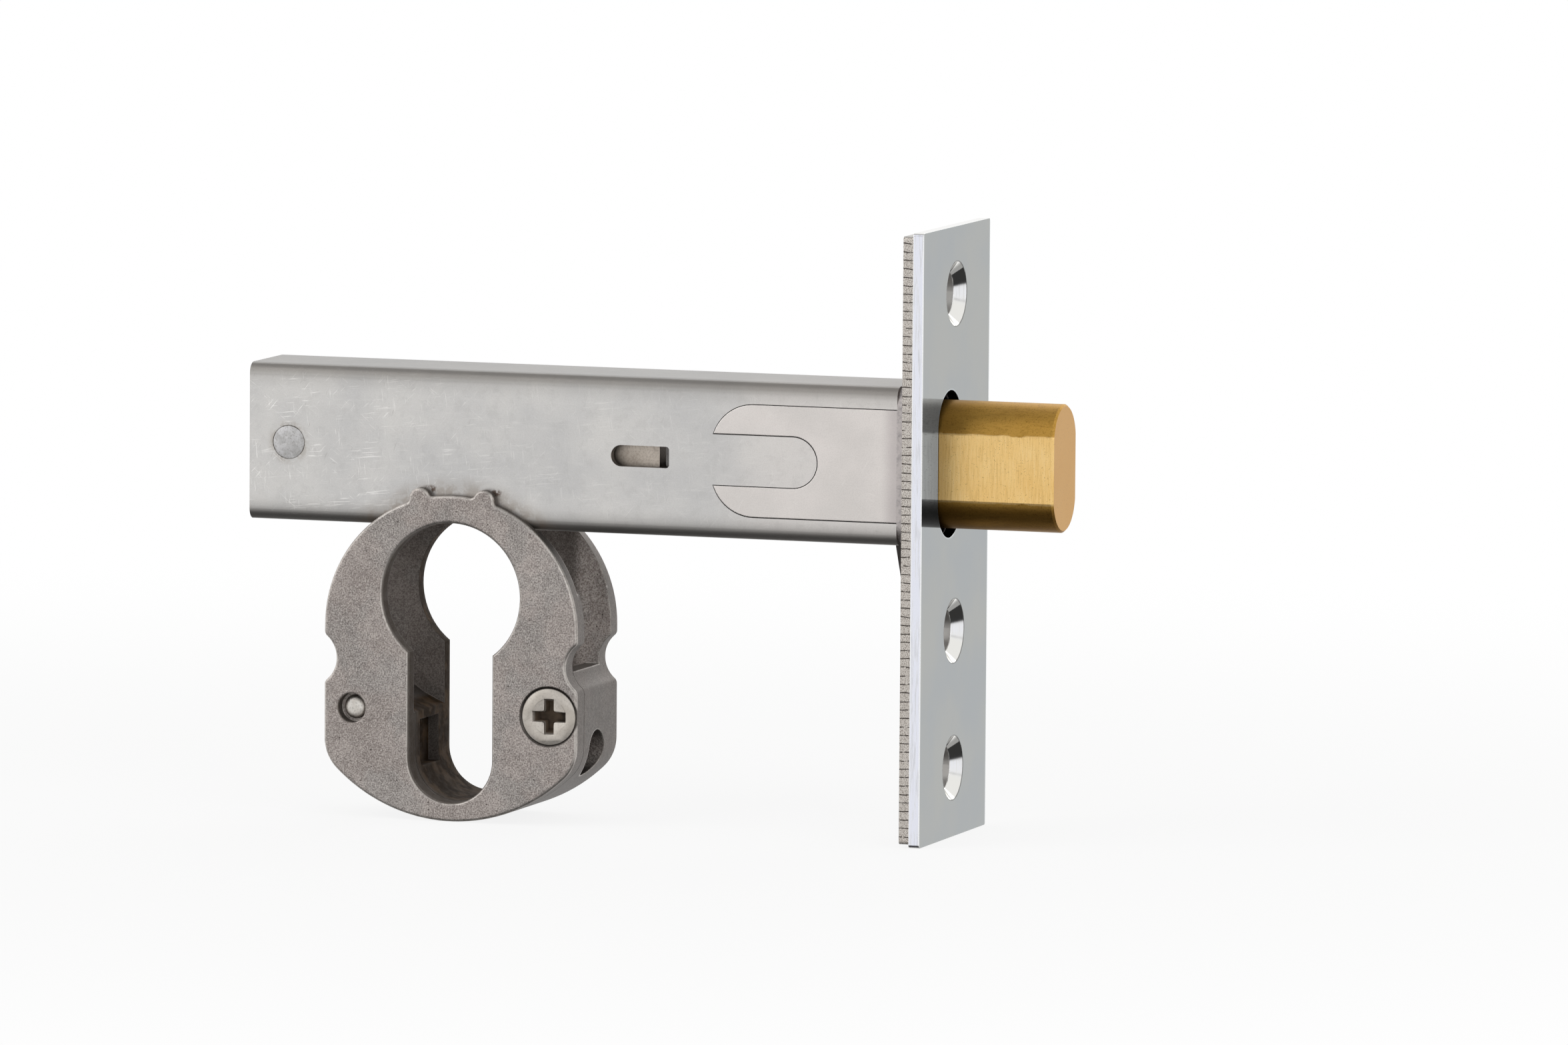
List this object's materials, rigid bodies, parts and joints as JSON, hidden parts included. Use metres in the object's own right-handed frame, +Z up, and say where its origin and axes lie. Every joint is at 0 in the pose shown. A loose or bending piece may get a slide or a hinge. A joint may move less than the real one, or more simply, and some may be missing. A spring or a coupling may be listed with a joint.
{
  "type": "mortise deadbolt",
  "caption": "Narrow mortise deadbolt: folded tube case, chromed forend, round-edged brass bolt and a cast clamp under the case for a profile cylinder.",
  "frame": {"origin": "axis of the profile cylinder's bore, halfway through the lock", "axes": "+X the way that the bolt is thrown, out of the forend; +Y along the cylinder's bore; +Z up"},
  "size_m": [0.1003, 0.025, 0.0725],
  "materials": {
    "satin_steel": "satin, finely scratched",
    "chrome_plate": "polished chrome",
    "plated_steel": "zinc plated",
    "zinc_casting": "smooth die casting",
    "spring_steel": "tempered strip",
    "housing_casting": "rough cast",
    "nickel_screw": "nickel plated",
    "dark_steel": "oiled steel",
    "brushed_brass": "brushed"
  },
  "bodies": {
    "lock_body": {"case_shell": "satin_steel", "faceplate": "chrome_plate", "backplate": "plated_steel", "bolt_guide": "zinc_casting", "forend_rivet": "plated_steel", "rear_rivet": "satin_steel", "rivet_spacer": "plated_steel", "locking_spring": "spring_steel", "front_housing": "housing_casting", "rear_housing": "housing_casting", "housing_screw": "nickel_screw", "housing_pin": "dark_steel"},
    "bolt": {"bolt_head": "brushed_brass", "bolt_tail": "dark_steel", "tail_rivet_rear": "dark_steel", "tail_rivet_front": "dark_steel"}
  },
  "joints": [
    {"name": "bolt_throw", "type": "slide", "parent": "lock_body", "child": "bolt", "axis": [1, 0, 0], "range_m": [-0.0142, 0], "deforming": ["locking_spring"]}
  ]
}
